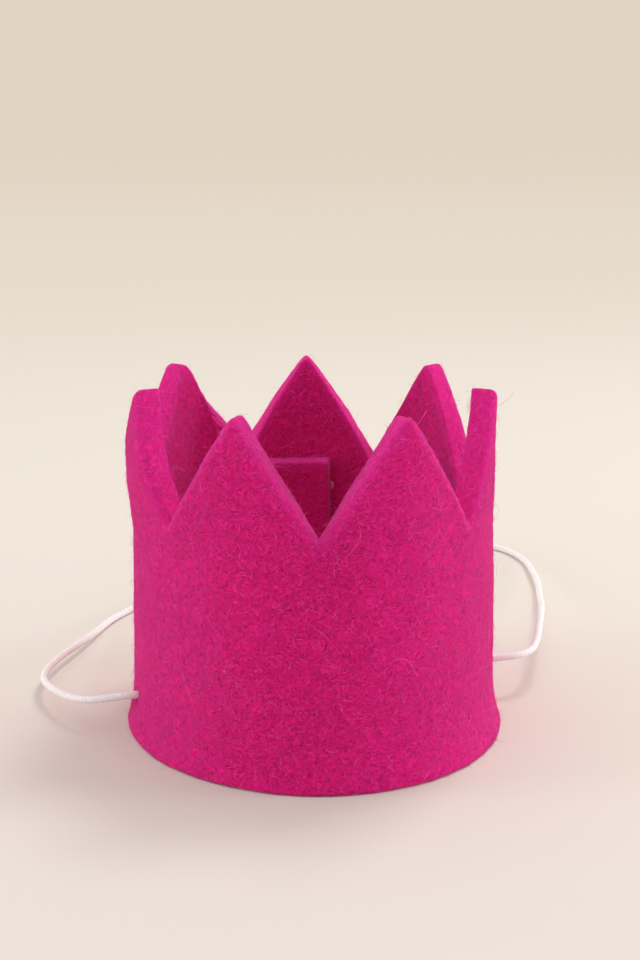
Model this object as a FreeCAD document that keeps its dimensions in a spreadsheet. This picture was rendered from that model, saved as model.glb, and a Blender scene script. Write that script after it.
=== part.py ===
import FreeCAD, Part
import math
import os

import Sketcher
from FreeCAD import Placement, Rotation, Vector

# Thick felt crown: one strip cut into seven points, rolled into a ring and lapped at the back,
# with a round elastic threaded through a punched hole at each side.
# The origin is on the table at the middle of the ring, and the front valley faces -Y.
# An azimuth is counted from the front, positive towards +X. All sizes are in millimetres.

SIZES = (
    ("felt_thickness", 5.0, "wool felt"),
    ("base_radius", 38.0, "outside, where the flare stands on the table"),
    ("flare_spread", 1.9, "how far the foot stands out from the wall"),
    ("waist_draw", 0.7, "how far the wall draws in from the flare up to the valleys"),
    ("tip_spread", 0.4, "how far the tips stand out from the valleys"),
    ("flare_height", 11.0, "height over which the foot spreads"),
    ("valley_height", 46.2, "table to the bottom of a valley"),
    ("tip_height", 67.8, "table to a tip"),
    ("tip_width", 2.2, "blunt end of a point"),
    ("point_count", 7, "points round the ring"),
    ("glue_gap", 0.3, "between the two layers of the lap"),
    ("step_angle", 22.0, "arc in which the strip steps inwards under its own end"),
    ("overlap_angle", 35.2, "arc of the tab behind the free end"),
    ("glue_low", 14.0, "lower edge of the glue line"),
    ("glue_high", 42.0, "upper edge of the glue line"),
    ("glue_inset", 2.5, "arc between the free end and the glue"),
    ("bead_height", 40.6, "middle of the glue bead at the tab's end"),
    ("bead_size", 2.0, "glue bead, up the wall"),
    ("bead_depth", 1.4, "glue bead, out from the wall"),
    ("bead_angle", 2.2, "arc that the glue bead covers"),
    ("hole_height", 8.8, "table to the elastic's holes"),
    ("hole_clearance", 0.1, "felt to elastic, all round"),
    ("cord_diameter", 1.5, "round elastic"),
    ("knot_diameter", 4.0, "stopper knot"),
    ("knot_length", 3.4, "stopper knot, along the hole"),
    ("knot_round", 1.3, "rounding of the knot"),
    ("knot_gap", 0.15, "knot to felt"),
    ("tail_length", 4.5, "cut end of the elastic past its knot"),
)
DERIVED = (
    ("wall_radius", "base_radius", -1, "flare_spread"),
    ("waist_radius", "wall_radius", -1, "waist_draw"),
    ("tip_radius", "waist_radius", 1, "tip_spread"),
)
CUT_MARGIN = 3.0

# Points of the elastic between its two exits, left hole to right hole, chosen by hand.
# Each is an azimuth, a distance beyond the foot of the crown and a rise off the table.
# It droops from the left hole to the table, runs in a wide bow behind the crown
# and rises from the table again to the right hole.
LOOP_POINTS = (
    (-83.2, 8.3, 6.25),
    (-95.4, 15.2, 4.25),
    (-104.9, 20.5, 3.25),
    (-116.4, 22.8, 2.5),
    (-127.0, 25.2, 1.5),
    (-135.3, 30.2, 0.5),
    (-142.9, 36.6, 0.0),
    (-151.5, 41.6, 0.0),
    (-160.6, 49.4, 0.0),
    (-169.5, 58.1, 0.0),
    (-177.8, 67.1, 0.0),
    (174.7, 76.0, 0.0),
    (167.7, 83.8, 0.0),
    (160.9, 87.4, 0.0),
    (154.3, 86.3, 0.0),
    (149.6, 78.5, 0.25),
    (145.9, 67.1, 1.0),
    (142.0, 57.1, 1.5),
    (137.7, 45.9, 2.75),
    (132.3, 36.3, 4.5),
    (125.9, 26.8, 6.25),
    (118.3, 19.0, 7.25),
    (111.9, 14.3, 7.5),
    (105.8, 10.3, 8.0),
    (102.0, 6.4, 8.25),
)
LEFT_EXIT_RUN = 7.0
RIGHT_EXIT_RUN = 6.6
BEND_SHARE = 0.45

os.makedirs("parts", exist_ok=True)
doc = FreeCAD.newDocument("felt_crown")


def make_sheet():
    """The driving dimensions, one row each."""
    sheet = doc.addObject("Spreadsheet::Sheet", "sizes")
    for row, (alias, value, note) in enumerate(SIZES, start=1):
        sheet.set(f"A{row}", note)
        sheet.set(f"B{row}", str(value))
        sheet.setAlias(f"B{row}", alias)
    for row, (alias, start, sign, change) in enumerate(DERIVED, start=len(SIZES) + 1):
        sheet.set(f"B{row}", f"={start} + {sign} * {change}")
        sheet.setAlias(f"B{row}", alias)
    doc.recompute()
    return sheet


make_sheet()
VALUE = {alias: value for alias, value, note in SIZES}
for alias, start, sign, change in DERIVED:
    VALUE[alias] = VALUE[start] + sign * VALUE[change]
PITCH = "360 / sizes.point_count"
LAP_AZIMUTH = f"(180 - {PITCH} / 2 + {PITCH})"
STEP_START = f"({LAP_AZIMUTH} - 360 + sizes.step_angle)"
TAB_END = f"({LAP_AZIMUTH} - sizes.overlap_angle)"
HOLE_AZIMUTH = f"(-1.5 * {PITCH})"
LAYER_SHIFT = "(sizes.felt_thickness + sizes.glue_gap)"

pitch = 360.0 / VALUE["point_count"]
hole_azimuth = -1.5 * pitch
layer_shift = VALUE["felt_thickness"] + VALUE["glue_gap"]


def origin_feature(body, role):
    """A plane or axis of the body's own origin."""
    return next(f for f in body.Origin.OriginFeatures if f.Role == role)


def make_body(name):
    body = doc.addObject("PartDesign::Body", name)
    body.Label = name
    return body


def make_sketch(body, name, plane, axis=None, angle=None, offset=None):
    """A sketch on an origin plane, turned about axis by an expression, or set off along its normal."""
    sketch = body.newObject("Sketcher::SketchObject", name)
    sketch.AttachmentSupport = (origin_feature(body, plane), [""])
    sketch.MapMode = "FlatFace"
    if angle is not None:
        sketch.AttachmentOffset = Placement(Vector(), Rotation(axis, 1.0))
        sketch.setExpression("AttachmentOffset.Rotation.Angle", angle)
    if offset is not None:
        sketch.AttachmentOffset = Placement(Vector(0, 0, offset), Rotation())
    return sketch


def place_point(sketch, geometry, position, across, up=None):
    """Ties a point of the sketch to two expressions from the origin; without up it is at height 0."""
    point = sketch.getPoint(geometry, position)
    for kind, text, value in (("DistanceX", across, point.x), ("DistanceY", up, point.y)):
        if text is None:
            sketch.addConstraint(Sketcher.Constraint("PointOnObject", geometry, position, -1))
            continue
        index = sketch.addConstraint(Sketcher.Constraint(kind, -1, 1, geometry, position, value))
        sketch.setExpression(f"Constraints[{index}]", text)


def flare_radius():
    """Radius of the flare's curve, which is upright at its top."""
    spread = VALUE["flare_spread"]
    return (spread**2 + VALUE["flare_height"] ** 2) / (2 * spread)


FLARE_RADIUS = "(sizes.flare_spread^2 + sizes.flare_height^2) / (2 * sizes.flare_spread)"


def wall_section(body, name, angle, with_point, shift_text, shift):
    """The strip's section in a plane through the axis: flare, wall and, if wanted, the point above it."""
    sketch = make_sketch(body, name, "XZ_Plane", Vector(0, 1, 0), angle)
    radius = flare_radius()
    sweep = math.asin(VALUE["flare_height"] / radius)
    corners = [("wall_radius", "flare_height"), ("waist_radius", "valley_height")]
    if with_point:
        corners.append(("tip_radius", "tip_height"))
    lines = []
    arcs = []
    inner_text = f"({shift_text} + sizes.felt_thickness)"
    inner_shift = shift + VALUE["felt_thickness"]
    for inward_text, inward in ((shift_text, shift), (inner_text, inner_shift)):
        centre = Vector(VALUE["wall_radius"] - inward + radius, VALUE["flare_height"], 0)
        circle = Part.Circle(centre, Vector(0, 0, 1), radius)
        arc = sketch.addGeometry(Part.ArcOfCircle(circle, math.pi, math.pi + sweep), False)
        arcs.append(arc)
        place_point(sketch, arc, 1, f"sizes.wall_radius - {inward_text}", "sizes.flare_height")
        place_point(sketch, arc, 2, f"sizes.base_radius - {inward_text}")
        index = sketch.addConstraint(Sketcher.Constraint("Radius", arc, radius))
        sketch.setExpression(f"Constraints[{index}]", FLARE_RADIUS)
        last = (arc, 1)
        for (low_r, low_z), (high_r, high_z) in zip(corners, corners[1:]):
            start = Vector(VALUE[low_r] - inward, VALUE[low_z], 0)
            end = Vector(VALUE[high_r] - inward, VALUE[high_z], 0)
            line = sketch.addGeometry(Part.LineSegment(start, end), False)
            sketch.addConstraint(Sketcher.Constraint("Coincident", last[0], last[1], line, 1))
            place_point(sketch, line, 2, f"sizes.{high_r} - {inward_text}", f"sizes.{high_z}")
            last = (line, 2)
        lines.append(last)
    for (a, a_end), (b, b_end) in (((arcs[0], 2), (arcs[1], 2)), (lines[0], lines[1])):
        edge = Part.LineSegment(sketch.getPoint(a, a_end), sketch.getPoint(b, b_end))
        line = sketch.addGeometry(edge, False)
        sketch.addConstraint(Sketcher.Constraint("Coincident", a, a_end, line, 1))
        sketch.addConstraint(Sketcher.Constraint("Coincident", b, b_end, line, 2))
    return sketch


def revolve(body, name, sketch, angle, axis="V_Axis"):
    feature = body.newObject("PartDesign::Revolution", name)
    feature.Profile = sketch
    feature.ReferenceAxis = (sketch, [axis])
    feature.setExpression("Angle", angle)
    sketch.Visibility = False
    return feature


def step_spine(body):
    """Centre line of the step: two tangent arcs of one radius, from the ring inwards to the tab's ring."""
    sketch = make_sketch(body, "step_spine", "XY_Plane", Vector(0, 0, 1), f"{STEP_START} - 90")
    path = VALUE["wall_radius"] - VALUE["felt_thickness"] / 2
    turn = math.radians(VALUE["step_angle"])
    square = 4 * (1 - math.cos(turn))
    straight = 4 * layer_shift * (1 + math.cos(turn))
    rest = layer_shift**2 * (1 + math.cos(turn)) + (2 * path - layer_shift) ** 2 * (1 - math.cos(turn))
    bend = (math.sqrt(straight**2 + 4 * square * rest) - straight) / (2 * square)
    first = Vector(path - bend, 0, 0)
    inward = Vector(math.cos(turn), -math.sin(turn), 0)
    second = inward * (path - layer_shift + bend)
    between = second - first
    lean = math.atan2(between.y, between.x)
    outer = Part.ArcOfCircle(Part.Circle(first, Vector(0, 0, 1), bend), lean, 0)
    inner = Part.ArcOfCircle(Part.Circle(second, Vector(0, 0, 1), bend), lean + math.pi, math.pi - turn)
    arc_out = sketch.addGeometry(outer, False)
    arc_in = sketch.addGeometry(inner, False)
    path_text = "(sizes.wall_radius - sizes.felt_thickness / 2)"
    square_text = "(4 * (1 - cos(sizes.step_angle)))"
    straight_text = f"(4 * {LAYER_SHIFT} * (1 + cos(sizes.step_angle)))"
    rest_text = (
        f"({LAYER_SHIFT}^2 * (1 + cos(sizes.step_angle))"
        f" + (2 * {path_text} - {LAYER_SHIFT})^2 * (1 - cos(sizes.step_angle)))"
    )
    bend_text = (
        f"(sqrt({straight_text}^2 + 4 * {square_text} * {rest_text}) - {straight_text})"
        f" / (2 * {square_text})"
    )
    place_point(sketch, arc_out, 2, path_text)
    sketch.addConstraint(Sketcher.Constraint("PointOnObject", arc_out, 3, -1))
    sketch.addConstraint(Sketcher.Constraint("Tangent", arc_out, 1, arc_in, 1))
    for arc in (arc_out, arc_in):
        index = sketch.addConstraint(Sketcher.Constraint("Radius", arc, bend))
        sketch.setExpression(f"Constraints[{index}]", bend_text)
    reach = f"({path_text} - {LAYER_SHIFT})"
    end = sketch.getPoint(arc_in, 2)
    index = sketch.addConstraint(Sketcher.Constraint("DistanceX", -1, 1, arc_in, 2, end.x))
    sketch.setExpression(f"Constraints[{index}]", f"{reach} * cos(sizes.step_angle)")
    index = sketch.addConstraint(Sketcher.Constraint("DistanceY", arc_in, 2, -1, 1, -end.y))
    sketch.setExpression(f"Constraints[{index}]", f"{reach} * sin(sizes.step_angle)")
    return sketch


def valley_section(body, name, distance):
    """A valley's V on a plane that far in front of the axis, where its flanks run, as cut flat."""
    sketch = make_sketch(body, name, "XZ_Plane", offset=distance)
    top = VALUE["tip_height"] + CUT_MARGIN
    depth = "(sizes.tip_height - sizes.valley_height)"
    rise = f"(1 + {CUT_MARGIN} / {depth})"
    half_text = f"({distance} * tan(180 / sizes.point_count) - sizes.tip_width / 2) * {rise}"
    grown = (top - VALUE["valley_height"]) / (VALUE["tip_height"] - VALUE["valley_height"])
    half = (distance * math.tan(math.radians(pitch / 2)) - VALUE["tip_width"] / 2) * grown
    corners = (Vector(0, VALUE["valley_height"], 0), Vector(half, top, 0), Vector(-half, top, 0))
    lines = [
        sketch.addGeometry(Part.LineSegment(a, b), False)
        for a, b in zip(corners, corners[1:] + corners[:1])
    ]
    for line, following in zip(lines, lines[1:] + lines[:1]):
        sketch.addConstraint(Sketcher.Constraint("Coincident", line, 2, following, 1))
    sketch.addConstraint(Sketcher.Constraint("PointOnObject", lines[0], 1, -2))
    sketch.addConstraint(Sketcher.Constraint("Symmetric", lines[1], 1, lines[1], 2, -2))
    for kind, line, value, text in (
        ("DistanceY", lines[0], VALUE["valley_height"], "sizes.valley_height"),
        ("DistanceY", lines[1], top, f"sizes.tip_height + {CUT_MARGIN}"),
        ("DistanceX", lines[1], half, half_text),
    ):
        index = sketch.addConstraint(Sketcher.Constraint(kind, -1, 1, line, 1, value))
        sketch.setExpression(f"Constraints[{index}]", text)
    return sketch


def make_band():
    """The felt strip, rolled and lapped, with its points and the two holes."""
    body = make_body("felt_band")
    section = wall_section(body, "ring_section", f"{STEP_START} - 90", True, "0", 0.0)
    revolve(body, "ring", section, "360 - sizes.step_angle")
    step = body.newObject("PartDesign::AdditivePipe", "step")
    step.Profile = section
    step.Spine = (step_spine(body), [])
    near = valley_section(body, "valley_near", VALUE["base_radius"] / 2)
    far = valley_section(body, "valley_far", VALUE["base_radius"] + CUT_MARGIN)
    valley = body.newObject("PartDesign::SubtractiveLoft", "valley")
    valley.Profile = near
    valley.Sections = [far]
    valley.Ruled = True
    valleys = body.newObject("PartDesign::PolarPattern", "valleys")
    valleys.Originals = [valley]
    valleys.Axis = (origin_feature(body, "Z_Axis"), [""])
    valleys.Angle = 360
    valleys.setExpression("Occurrences", "sizes.point_count")
    body.Tip = valleys
    tab_section = wall_section(body, "tab_section", f"{TAB_END} - 90", False, LAYER_SHIFT, layer_shift)
    revolve(body, "tab", tab_section, "sizes.overlap_angle")
    hole_sketch = make_sketch(body, "hole_sketch", "XZ_Plane", Vector(0, 1, 0), HOLE_AZIMUTH)
    centre = Vector(0, VALUE["hole_height"], 0)
    radius = VALUE["cord_diameter"] / 2 + VALUE["hole_clearance"]
    circle = hole_sketch.addGeometry(Part.Circle(centre, Vector(0, 0, 1), radius), False)
    hole_sketch.addConstraint(Sketcher.Constraint("PointOnObject", circle, 3, -2))
    index = hole_sketch.addConstraint(Sketcher.Constraint("DistanceY", -1, 1, circle, 3, centre.y))
    hole_sketch.setExpression(f"Constraints[{index}]", "sizes.hole_height")
    index = hole_sketch.addConstraint(Sketcher.Constraint("Radius", circle, radius))
    hole_sketch.setExpression(f"Constraints[{index}]", "sizes.cord_diameter / 2 + sizes.hole_clearance")
    holes = body.newObject("PartDesign::Pocket", "holes")
    holes.Profile = hole_sketch
    holes.SideType = "Symmetric"
    holes.setExpression("Length", "3 * sizes.base_radius")
    return body


GLUE_SLOPE = "(sizes.waist_draw / (sizes.valley_height - sizes.flare_height))"


def glue_section(body, name, angle, low, high, depth):
    """A slanted strip on the outer layer's inner face; low, high and depth are pairs of text and value."""
    sketch = make_sketch(body, name, "XZ_Plane", Vector(0, 1, 0), angle)
    slope = VALUE["waist_draw"] / (VALUE["valley_height"] - VALUE["flare_height"])
    inner_text = "sizes.wall_radius - sizes.felt_thickness"
    inner = VALUE["wall_radius"] - VALUE["felt_thickness"]
    corners = []
    for (height_text, height), (inward_text, inward) in (
        (low, ("0", 0.0)),
        (high, ("0", 0.0)),
        (high, depth),
        (low, depth),
    ):
        across_text = f"{inner_text} - {GLUE_SLOPE} * ({height_text} - sizes.flare_height) - {inward_text}"
        across = inner - slope * (height - VALUE["flare_height"]) - inward
        corners.append((across_text, height_text, Vector(across, height, 0)))
    points = [point for across_text, height_text, point in corners]
    lines = [
        sketch.addGeometry(Part.LineSegment(a, b), False)
        for a, b in zip(points, points[1:] + points[:1])
    ]
    for line, following in zip(lines, lines[1:] + lines[:1]):
        sketch.addConstraint(Sketcher.Constraint("Coincident", line, 2, following, 1))
    for line, (across_text, height_text, point) in zip(lines, corners):
        place_point(sketch, line, 1, across_text, height_text)
    return sketch


def make_glue():
    """The glue line between the lap's two layers, with the bead squeezed out at the tab's end."""
    body = make_body("seam_glue")
    line = glue_section(
        body,
        "line_section",
        f"{TAB_END} - 90",
        ("sizes.glue_low", VALUE["glue_low"]),
        ("sizes.glue_high", VALUE["glue_high"]),
        ("sizes.glue_gap", VALUE["glue_gap"]),
    )
    revolve(body, "line", line, "sizes.overlap_angle - sizes.glue_inset")
    half = VALUE["bead_size"] / 2
    bead = glue_section(
        body,
        "bead_section",
        f"{TAB_END} - sizes.bead_angle - 90",
        ("(sizes.bead_height - sizes.bead_size / 2)", VALUE["bead_height"] - half),
        ("(sizes.bead_height + sizes.bead_size / 2)", VALUE["bead_height"] + half),
        ("sizes.bead_depth", VALUE["bead_depth"]),
    )
    revolve(body, "bead", bead, "sizes.bead_angle")
    return body


def knot_face():
    """Distance from the ring's axis to the face of a knot, on the hole's axis."""
    above = VALUE["flare_height"] - VALUE["hole_height"]
    radius = flare_radius()
    spread = radius - math.sqrt(radius**2 - above**2) if above > 0 else 0.0
    wall = VALUE["wall_radius"] - VALUE["felt_thickness"] + spread
    return math.sqrt(wall**2 - (VALUE["knot_diameter"] / 2) ** 2) - VALUE["knot_gap"]


KNOT_WALL = (
    f"(sizes.wall_radius - sizes.felt_thickness + ({FLARE_RADIUS}) - sqrt(({FLARE_RADIUS})^2"
    " - (sizes.flare_height - sizes.hole_height)^2))"
)
KNOT_FACE = f"(sqrt({KNOT_WALL}^2 - (sizes.knot_diameter / 2)^2) - sizes.knot_gap)"
KNOT_BACK = f"({KNOT_FACE} - sizes.knot_length)"


def make_knot(name, side):
    """A stopper knot: a round body on the hole's axis with the cut end of the elastic behind it."""
    body = make_body(name)
    angle = f"{HOLE_AZIMUTH} + {side} - 90"
    sketch = make_sketch(body, f"{name}_section", "XZ_Plane", Vector(0, 1, 0), angle)
    face = knot_face()
    back = face - VALUE["knot_length"]
    end = back - VALUE["tail_length"]
    half = VALUE["knot_diameter"] / 2
    curve = VALUE["knot_round"]
    corner = curve * (1 - math.sqrt(0.5))
    thin = VALUE["cord_diameter"] / 2
    level = VALUE["hole_height"]

    def at(along, out):
        return Vector(along, level + out, 0)

    front = Part.Arc(at(face, half - curve), at(face - corner, half - corner), at(face - curve, half))
    rear = Part.Arc(at(back + curve, half), at(back + corner, half - corner), at(back, half - curve))
    axis, nose, front_arc, side_line, rear_arc, heel, tail, tail_end = (
        sketch.addGeometry(geometry, False)
        for geometry in (
            Part.LineSegment(at(end, 0), at(face, 0)),
            Part.LineSegment(at(face, 0), at(face, half - curve)),
            front,
            Part.LineSegment(at(face - curve, half), at(back + curve, half)),
            rear,
            Part.LineSegment(at(back, half - curve), at(back, thin)),
            Part.LineSegment(at(back, thin), at(end, thin)),
            Part.LineSegment(at(end, thin), at(end, 0)),
        )
    )
    centre = "sizes.hole_height"
    top = f"{centre} + sizes.knot_diameter / 2"
    shoulder = f"{top} - sizes.knot_round"
    cord_side = f"{centre} + sizes.cord_diameter / 2"
    for line, across, up in (
        (axis, f"{KNOT_BACK} - sizes.tail_length", centre),
        (nose, KNOT_FACE, centre),
        (side_line, f"{KNOT_FACE} - sizes.knot_round", top),
        (heel, KNOT_BACK, shoulder),
        (tail, KNOT_BACK, cord_side),
        (tail_end, f"{KNOT_BACK} - sizes.tail_length", cord_side),
    ):
        place_point(sketch, line, 1, across, up)
    place_point(sketch, nose, 2, KNOT_FACE, shoulder)
    place_point(sketch, side_line, 2, f"{KNOT_BACK} + sizes.knot_round", top)
    for line, arc_end, following, following_end in (
        (axis, 2, nose, 1),
        (heel, 2, tail, 1),
        (tail, 2, tail_end, 1),
        (tail_end, 2, axis, 1),
    ):
        sketch.addConstraint(Sketcher.Constraint("Coincident", line, arc_end, following, following_end))
    for arc, before, after in ((front_arc, nose, side_line), (rear_arc, side_line, heel)):
        joint = sketch.getPoint(before, 2)
        ends = sorted((1, 2), key=lambda end: sketch.getPoint(arc, end).distanceToPoint(joint))
        sketch.addConstraint(Sketcher.Constraint("Coincident", before, 2, arc, ends[0]))
        sketch.addConstraint(Sketcher.Constraint("Coincident", arc, ends[1], after, 1))
        index = sketch.addConstraint(Sketcher.Constraint("Radius", arc, curve))
        sketch.setExpression(f"Constraints[{index}]", "sizes.knot_round")
    feature = body.newObject("PartDesign::Revolution", f"{name}_turned")
    feature.Profile = sketch
    feature.ReferenceAxis = (sketch, ["Edge1"])
    feature.Angle = 360
    sketch.Visibility = False
    return body


def hole_direction():
    """Unit vector from the ring's axis to the left hole."""
    angle = math.radians(hole_azimuth)
    return Vector(math.sin(angle), -math.cos(angle), 0)


def cord_route():
    """The elastic's route from knot to knot: straight out of each hole, with the chosen points between."""
    out = hole_direction()
    lift = Vector(0, 0, VALUE["hole_height"])
    face = knot_face()
    route = [out * face + lift, out * (face + LEFT_EXIT_RUN) + lift]
    for azimuth, beyond, rise in LOOP_POINTS:
        angle = math.radians(azimuth)
        reach = VALUE["base_radius"] + beyond
        height = VALUE["cord_diameter"] / 2 + rise
        route.append(Vector(reach * math.sin(angle), -reach * math.cos(angle), height))
    route += [out * -(face + RIGHT_EXIT_RUN) + lift, out * -face + lift]
    return route


def rounded_path(route):
    """Straight runs joined by tangent arcs, each as large as its runs allow; returns wire and radii."""
    edges = []
    radii = []
    last = route[0]
    for before, corner, after in zip(route, route[1:], route[2:]):
        arriving = (corner - before).normalize()
        leaving = (after - corner).normalize()
        half_turn = arriving.getAngle(leaving) / 2
        cut = BEND_SHARE * min((corner - before).Length, (after - corner).Length)
        radius = cut / math.tan(half_turn)
        start = corner - arriving * cut
        end = corner + leaving * cut
        inward = (leaving - arriving).normalize()
        middle = corner + inward * (radius / math.cos(half_turn) - radius)
        edges.append(Part.LineSegment(last, start).toShape())
        edges.append(Part.Arc(start, middle, end).toShape())
        radii.append(radius)
        last = end
    edges.append(Part.LineSegment(last, route[-1]).toShape())
    return Part.Wire(edges), radii


def make_cord():
    """The elastic, one round tube."""
    path, radii = rounded_path(cord_route())
    start = path.Edges[0]
    section = Part.Circle(start.Vertexes[0].Point, start.tangentAt(0), VALUE["cord_diameter"] / 2)
    tube = path.makePipeShell([Part.Wire(section.toShape())], True, False)
    expected = math.pi * VALUE["cord_diameter"] ** 2 / 4 * path.Length
    print("elastic length", round(path.Length, 1))
    print("elastic volume", round(tube.Volume, 1), "of", round(expected, 1))
    print("elastic radii", [round(radius, 1) for radius in radii])
    feature = doc.addObject("Part::Feature", "elastic_cord")
    feature.Label = "elastic_cord"
    feature.Shape = tube
    feature.Placement = Placement()
    return feature


def write_parts(parts):
    """Checks every object and each part's shape, then writes the parts."""
    doc.recompute()
    for item in doc.Objects:
        if "Invalid" in item.State or "Error" in item.State:
            raise RuntimeError(f"{item.Name} failed: {item.State}")
    for part in parts:
        if part.Shape.isNull() or not part.Shape.isValid():
            raise RuntimeError(f"{part.Label} has no valid shape")
        print(part.Label, len(part.Shape.Solids), "solid", round(part.Shape.Volume, 1), "mm3")
    for part in parts:
        part.Shape.exportStep(f"parts/{part.Label}.step")


write_parts(
    [
        make_band(),
        make_glue(),
        make_knot("left_knot", 0),
        make_knot("right_knot", 180),
        make_cord(),
    ]
)
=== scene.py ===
import logging
import math
from dataclasses import asdict, dataclass, field
from enum import Enum
from typing import Callable, Sequence

import bmesh
import bpy
import numpy as np
from mathutils import Matrix, Vector, noise


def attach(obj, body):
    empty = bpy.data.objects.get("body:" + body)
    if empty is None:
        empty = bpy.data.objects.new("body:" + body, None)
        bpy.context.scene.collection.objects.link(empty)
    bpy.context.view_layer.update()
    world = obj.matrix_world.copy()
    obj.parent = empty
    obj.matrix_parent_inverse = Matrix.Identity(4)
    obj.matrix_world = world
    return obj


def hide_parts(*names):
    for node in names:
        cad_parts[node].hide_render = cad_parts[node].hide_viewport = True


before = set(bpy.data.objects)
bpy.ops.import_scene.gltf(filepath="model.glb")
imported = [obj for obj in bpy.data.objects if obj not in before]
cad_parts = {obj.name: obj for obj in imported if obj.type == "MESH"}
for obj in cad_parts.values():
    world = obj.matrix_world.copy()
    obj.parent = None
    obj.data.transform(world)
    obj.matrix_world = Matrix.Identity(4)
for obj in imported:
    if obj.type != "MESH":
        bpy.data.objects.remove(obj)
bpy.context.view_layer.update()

# A thick felt crown with its elastic loop. Sizes in the classes are in millimetres and
# become metres when a mesh is made. An azimuth is counted from the front valley, positive
# towards +X, and runs on past 360 degrees along the strip. No loose fibre comes nearer to
# the table than the height of the lowest one, which is given in metres.

MM = 0.001
LOWEST_FIBRE = 0.00005
log = logging.getLogger("felt_crown")


class Socket(Enum):
    """Socket types of a node group's interface."""

    NUMBER = "NodeSocketFloat"
    GEOMETRY = "NodeSocketGeometry"
    MATERIAL = "NodeSocketMaterial"
    COUNT = "NodeSocketInt"


class Side(Enum):
    """The two ends of the elastic, as signs along the left hole's outward direction."""

    LEFT = 1
    RIGHT = -1


@dataclass(frozen=True)
class Lean:
    """How one point of the crown stands away from the even ring.

    Attributes:
        azimuth: middle of the point, in degrees.
        outward: lean of the tip away from the axis, in millimetres.
        sideways: shift of the tip along the ring, in millimetres.
        taller: extra height of the tip, in millimetres.
        bow: how far its middle swells outwards, in millimetres.
    """

    azimuth: float
    outward: float
    sideways: float
    taller: float
    bow: float = 0.0


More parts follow.
